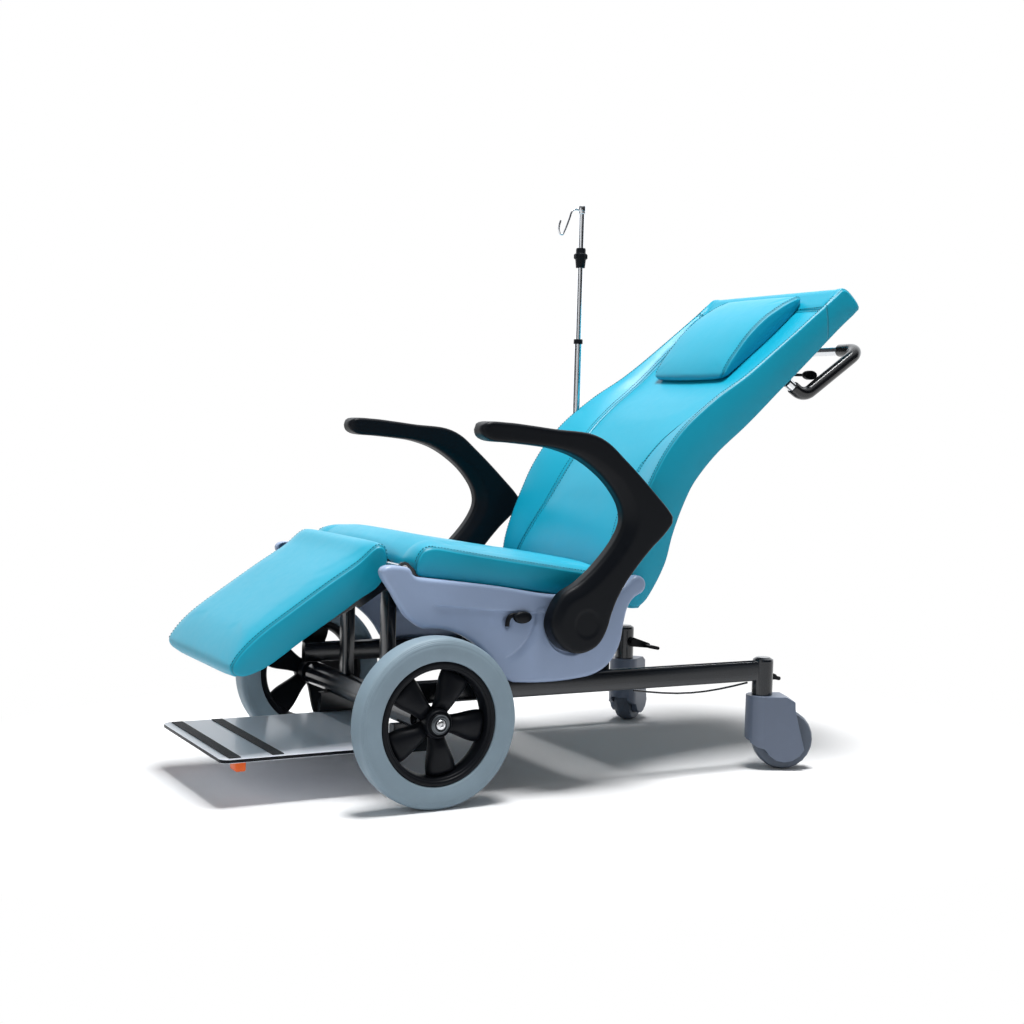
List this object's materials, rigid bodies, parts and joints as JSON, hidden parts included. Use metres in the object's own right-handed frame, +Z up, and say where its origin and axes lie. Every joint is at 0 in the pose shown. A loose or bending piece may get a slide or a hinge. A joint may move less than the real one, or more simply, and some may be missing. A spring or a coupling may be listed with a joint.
{
  "type": "reclining wheelchair",
  "caption": "Reclining care wheelchair with padded seat, back and leg rest, flip-up arms, sliding footplate, push bar and infusion pole.",
  "frame": {"origin": "on the floor, at the centre of the chair's bounding box in X and Y", "axes": "+Z up, -Y the way the sitter faces, +X the sitter's left"},
  "size_m": [0.687, 1.4262, 1.203],
  "materials": {
    "upholstery": "satin coated cloth",
    "shell": "satin",
    "black_plastic": "satin",
    "frame_paint": "satin metallic",
    "plate_paint": "silver",
    "chrome": "polished",
    "steel": "satin",
    "tyre": "matte",
    "wheel_plastic": "satin",
    "black_rubber": "matte",
    "orange_rubber": "matte",
    "board": "matte"
  },
  "bodies": {
    "base": {"axle_beam": "frame_paint", "seat_frame": "frame_paint", "seat_pan": "board", "seat_cushion": "upholstery", "leg_hinge_shaft": "steel", "iv_tube": "chrome", "side_rail_left": "frame_paint", "side_rail_right": "frame_paint", "axle_pin_left": "steel", "axle_pin_right": "steel", "front_upright_left": "frame_paint", "front_upright_right": "frame_paint", "rear_support_left": "frame_paint", "rear_support_right": "frame_paint", "side_shell_left": "shell", "side_shell_right": "shell", "arm_pin_left": "steel", "arm_pin_right": "steel", "back_pin_left": "steel", "back_pin_right": "steel", "footplate_runner_left": "black_plastic", "footplate_runner_right": "black_plastic", "brake_link_left": "black_plastic", "brake_link_right": "black_plastic"},
    "back": {"back_cushion": "upholstery", "back_frame": "frame_paint", "back_board": "board", "push_bar": "chrome", "grip_left": "black_rubber", "grip_right": "black_rubber", "head_pillow": "upholstery"},
    "release": {"release_lever": "black_plastic"},
    "leg_rest": {"leg_cushion": "upholstery", "leg_frame": "frame_paint"},
    "footplate": {"footplate": "plate_paint", "tread_front": "black_rubber", "tread_rear": "black_rubber", "bumper_left": "orange_rubber", "bumper_right": "orange_rubber"},
    "pole": {"iv_rod": "chrome", "iv_collar": "black_plastic"},
    "front_wheel_left": {"tyre_left": "tyre", "rim_left": "black_plastic", "hub_cap_left": "black_plastic"},
    "caster_fork_left": {"caster_hood_left": "wheel_plastic", "caster_stem_left": "steel"},
    "caster_wheel_left": {"caster_wheel_left": "wheel_plastic"},
    "arm_left": {"armrest_left": "black_plastic"},
    "seat_lever_left": {"side_lever_left": "black_plastic"},
    "brake_left": {"brake_pedal_left": "steel"},
    "front_wheel_right": {"tyre_right": "tyre", "rim_right": "black_plastic", "hub_cap_right": "black_plastic"},
    "caster_fork_right": {"caster_hood_right": "wheel_plastic", "caster_stem_right": "steel"},
    "caster_wheel_right": {"caster_wheel_right": "wheel_plastic"},
    "arm_right": {"armrest_right": "black_plastic"},
    "seat_lever_right": {"side_lever_right": "black_plastic"},
    "brake_right": {"brake_pedal_right": "steel"}
  },
  "joints": [
    {"name": "back_recline", "type": "hinge", "parent": "base", "child": "back", "pos_m": [0, 0.09875, 0.392], "axis": [1, 0, 0], "range_deg": [-35, 25]},
    {"name": "release_lever_turn", "type": "hinge", "parent": "back", "child": "release", "pos_m": [0.185, 0.50775, 0.826], "axis": [0, 0.6591, -0.7521], "range_deg": [-12, 0]},
    {"name": "leg_rest_lift", "type": "hinge", "parent": "base", "child": "leg_rest", "pos_m": [0, -0.39425, 0.433], "axis": [1, 0, 0], "range_deg": [-35, 25]},
    {"name": "footplate_slide", "type": "slide", "parent": "base", "child": "footplate", "axis": [0, 1, 0], "range_m": [0, 0.3]},
    {"name": "pole_height", "type": "slide", "parent": "base", "child": "pole", "axis": [0, 0, 1], "range_m": [-0.16, 0.1]},
    {"name": "front_wheel_left_spin", "type": "hinge", "parent": "base", "child": "front_wheel_left", "pos_m": [0.313, -0.35625, 0.1575], "axis": [1, 0, 0], "continuous": true},
    {"name": "caster_left_swivel", "type": "hinge", "parent": "base", "child": "caster_fork_left", "pos_m": [0.264, 0.42475, 0.1532], "axis": [0, 0, 1], "continuous": true},
    {"name": "caster_left_spin", "type": "hinge", "parent": "caster_fork_left", "child": "caster_wheel_left", "pos_m": [0.28302, 0.46553, 0.0625], "axis": [0.9063, -0.4226, 0], "continuous": true},
    {"name": "arm_left_flip", "type": "hinge", "parent": "base", "child": "arm_left", "pos_m": [0.2835, -0.04725, 0.327], "axis": [1, 0, 0], "range_deg": [-85, 0]},
    {"name": "seat_lever_left_turn", "type": "hinge", "parent": "base", "child": "seat_lever_left", "pos_m": [0.2828, -0.19025, 0.336], "axis": [1, 0, 0], "range_deg": [-25, 25]},
    {"name": "brake_left_press", "type": "hinge", "parent": "base", "child": "brake_left", "pos_m": [0.2372, 0.43075, 0.194], "axis": [1, 0, 0], "range_deg": [-8, 8]},
    {"name": "front_wheel_right_spin", "type": "hinge", "parent": "base", "child": "front_wheel_right", "pos_m": [-0.313, -0.35625, 0.1575], "axis": [1, 0, 0], "continuous": true},
    {"name": "caster_right_swivel", "type": "hinge", "parent": "base", "child": "caster_fork_right", "pos_m": [-0.264, 0.42475, 0.1532], "axis": [0, 0, 1], "continuous": true},
    {"name": "caster_right_spin", "type": "hinge", "parent": "caster_fork_right", "child": "caster_wheel_right", "pos_m": [-0.29201, 0.45997, 0.0625], "axis": [0.7826, 0.6225, 0], "continuous": true},
    {"name": "arm_right_flip", "type": "hinge", "parent": "base", "child": "arm_right", "pos_m": [-0.2835, -0.04725, 0.327], "axis": [1, 0, 0], "range_deg": [-85, 0]},
    {"name": "seat_lever_right_turn", "type": "hinge", "parent": "base", "child": "seat_lever_right", "pos_m": [-0.2828, -0.19025, 0.336], "axis": [1, 0, 0], "range_deg": [-25, 25]},
    {"name": "brake_right_press", "type": "hinge", "parent": "base", "child": "brake_right", "pos_m": [-0.2372, 0.43075, 0.194], "axis": [1, 0, 0], "range_deg": [-8, 8]}
  ]
}
